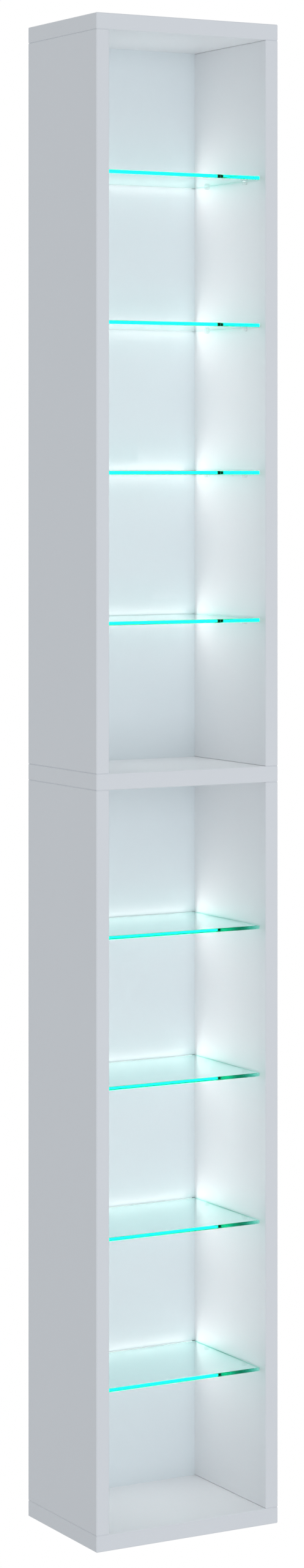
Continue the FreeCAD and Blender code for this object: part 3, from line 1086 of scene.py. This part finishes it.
class WALLSHELF_OT_nails(bpy.types.Operator):
    """Models the nails of the back panels"""

    bl_idname = "wallshelf.nails"
    bl_label = "Nails"

    def execute(self, context):
        sizes = hardware()
        centres = island_centres("back_panel_nails")
        low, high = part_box("back_panel_nails")
        first = centres[0]
        nail = start_piece(
            "back_panel_nails_zinc",
            bpy.ops.mesh.primitive_cylinder_add,
            vertices=NAIL_SIDES,
            radius=sizes.nail_radius,
            depth=high.y - low.y,
            location=first,
            rotation=(math.pi / 2, 0, 0),
        )
        pick_rim(nail, REAR)
        bpy.ops.mesh.bevel(offset=sizes.nail_radius / 4, segments=2, affect="EDGES")
        pick_faces(nail, lambda face: looks(face, FRONT))
        push_out((0, -sizes.nail_radius, 0))
        bpy.ops.transform.resize(value=(NAIL_TIP, 1, NAIL_TIP), center_override=(first.x, low.y, first.z))
        bpy.ops.transform.translate(value=(0, sizes.nail_radius, 0))
        close_piece(nail)
        nails = spread_copies(nail, [Matrix.Translation(centre - first) for centre in centres])
        finish_piece(nails, bpy.data.materials["zinc_steel"], "zinc_steel", "back_panel_nails")
        return {"FINISHED"}


class WALLSHELF_OT_studio(bpy.types.Operator):
    """Sets up the floor, the light and the camera"""

    bl_idname = "wallshelf.studio"
    bl_label = "Studio"

    def execute(self, context):
        self.light_room(context.scene)
        self.lay_floor()
        self.hang_front_lamp()
        self.hang_strip_lamps()
        self.place_camera(context.scene)
        context.scene.view_settings.view_transform = "Standard"
        for name, value in LIGHT_PATHS.items():
            setattr(context.scene.cycles, name, value)
        return {"FINISHED"}

    def light_room(self, scene):
        """Soft light all round, white where the camera, gloss or glass looks at it."""
        values = studio()
        world = bpy.data.worlds.new("studio")
        scene.world = world
        world.use_nodes = True
        tree = world.node_tree
        room = tree.nodes["Background"]
        room.inputs["Color"].default_value = rgba(values.room_light)
        room.inputs["Strength"].default_value = values.room_strength
        white = add_node(tree, "ShaderNodeBackground", {"Color": WHITE, "Strength": 1.0})
        mixed = mix_shaders(tree, seen_directly(tree), room.outputs[0], white.outputs[0])
        tree.links.new(mixed, tree.nodes["World Output"].inputs["Surface"])

    def lay_floor(self):
        """Pale floor, nearly white to the camera, which keeps a faint shadow."""
        values = studio()
        floor = start_piece(
            "studio_floor",
            bpy.ops.mesh.primitive_plane_add,
            size=values.floor_size,
            location=(0, 0, CAD_BOX[0][2] - values.floor_drop),
        )
        bpy.ops.mesh.subdivide(number_cuts=3)
        bpy.ops.object.mode_set(mode="OBJECT")
        material, tree, shader, output = new_material("studio_floor")
        put_fine_surface(
            tree,
            shader,
            values.floor_colour,
            roughness=0.7,
            mottle=0.02,
            gloss_change=0.05,
            cloud=2.0,
            grain=60.0,
            depth=0.0002,
        )
        white = add_node(tree, "ShaderNodeEmission", {"Color": WHITE, "Strength": 1.0})
        seen = math_node(tree, "MULTIPLY", seen_directly(tree), values.floor_white)
        mixed = mix_shaders(tree, seen, shader.outputs[0], white.outputs[0])
        tree.links.new(mixed, output.inputs["Surface"])
        floor.data.materials.append(material)

    def hang_lamp(self, name, place, facing, size, power, colour):
        """Rectangular lamp that looks one way."""
        bpy.ops.object.light_add(type="AREA", location=place)
        lamp = bpy.context.object
        lamp.name = name
        lamp.rotation_euler = facing.to_track_quat("-Z", "Y").to_euler()
        lamp.data.shape = "RECTANGLE"
        lamp.data.size, lamp.data.size_y = size
        lamp.data.energy = power
        lamp.data.color = colour
        return lamp

    def hang_front_lamp(self):
        """One broad soft lamp in front, at the middle of the shelf's height."""
        values = studio()
        place = Vector(values.front_place)
        facing = Vector(values.front_aim) - place
        self.hang_lamp(
            "front_lamp", place, facing, values.front_size, values.front_strength, values.front_light
        )

    def strip_lamps(self, cover):
        """Name, place, direction, size and power of each lamp of one strip."""
        values = studio()
        low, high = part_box(cover)
        level = (low.z + high.z) / 2
        length = high.x - low.x - 2 * STRIP_LAMP_INSET
        face = low.y - STRIP_LAMP_GAP
        wash_y = face - STRIP_WASH_WIDTH / 2
        wash_size = (length, STRIP_WASH_WIDTH)
        end_place = ((length - STRIP_END_LENGTH) / 2, wash_y, low.z)
        end_size = (STRIP_END_LENGTH, STRIP_WASH_WIDTH)
        glow_place = (0, face - STRIP_GLOW_REACH, low.z)
        glow_size = (high.x - low.x, STRIP_GLOW_WIDTH)
        return (
            ("forward", (0, face, level), FRONT, (length, high.z - low.z), values.forward_strength),
            ("wash", (0, wash_y, low.z), DOWN, wash_size, values.wash_strength),
            ("wash", (0, wash_y, high.z), UP, wash_size, values.wash_strength),
            ("end", end_place, DOWN, end_size, values.end_strength),
            ("glow", glow_place, REAR + DOWN, glow_size, values.glow_strength),
        )

    def pane_lamps(self, glass):
        """Name, place, direction, size and power of the lamps under and over one glass shelf."""
        low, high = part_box(glass)
        middle = (low.y + high.y) / 2
        size = (high.x - low.x, high.y - low.y)
        power = studio().glass_strength
        return (
            ("pane", (0, middle, low.z - PANE_LAMP_GAP), DOWN, size, power),
            ("pane", (0, middle, high.z + PANE_LAMP_GAP), UP, size, power),
        )

    def hang_strip_lamps(self):
        """Light that each strip throws forward and along the back, and that its glass gives off."""
        colour = studio().strip_lamp
        for cover, glass in zip(numbered("led_cover"), numbered("glass_shelf")):
            for name, *lamp in self.strip_lamps(cover) + self.pane_lamps(glass):
                hung = self.hang_lamp(f"{cover}_{name}", *lamp, colour)
                hung.visible_camera = False
                hung.visible_glossy = False
                hung.visible_transmission = False

    def place_camera(self, scene):
        """Level camera, turned to the right, with its lens shifted."""
        values = studio()
        turn = (math.pi / 2, 0, -values.camera_turn)
        bpy.ops.object.camera_add(location=values.camera_place, rotation=turn)
        camera = bpy.context.object
        camera.data.lens = values.lens
        camera.data.shift_y = values.rise
        scene.camera = camera


OPERATORS = (
    WALLSHELF_OT_boards,
    WALLSHELF_OT_back_panels,
    WALLSHELF_OT_glass_shelves,
    WALLSHELF_OT_light_strips,
    WALLSHELF_OT_rear_plates,
    WALLSHELF_OT_dowels,
    WALLSHELF_OT_shelf_pins,
    WALLSHELF_OT_screw_caps,
    WALLSHELF_OT_rear_screws,
    WALLSHELF_OT_nails,
    WALLSHELF_OT_studio,
)


class WALLSHELF_PT_pieces(bpy.types.Panel):
    """Lists the pieces of the shelf and their values"""

    bl_idname = "WALLSHELF_PT_pieces"
    bl_label = "Wall shelf"
    bl_space_type = "VIEW_3D"
    bl_region_type = "UI"
    bl_category = "Wall shelf"

    def draw(self, context):
        for operator in OPERATORS:
            self.layout.operator(operator.bl_idname)
        for values in (finishes(), hardware(), studio()):
            box = self.layout.box()
            for name in values.__annotations__:
                box.prop(values, name)


PROPERTY_GROUPS = {
    "wall_shelf_finishes": WallShelfFinishes,
    "wall_shelf_hardware": WallShelfHardware,
    "wall_shelf_studio": WallShelfStudio,
}
CLASSES = (*PROPERTY_GROUPS.values(), *OPERATORS, WALLSHELF_PT_pieces)


def register():
    for kind in CLASSES:
        bpy.utils.register_class(kind)
    for name, kind in PROPERTY_GROUPS.items():
        setattr(bpy.types.Scene, name, bpy.props.PointerProperty(type=kind))


def unregister():
    for name in PROPERTY_GROUPS:
        delattr(bpy.types.Scene, name)
    for kind in reversed(CLASSES):
        bpy.utils.unregister_class(kind)


def main():
    register()
    for operator in OPERATORS:
        family, name = operator.bl_idname.split(".")
        getattr(getattr(bpy.ops, family), name)()


if __name__ == "__main__":
    main()
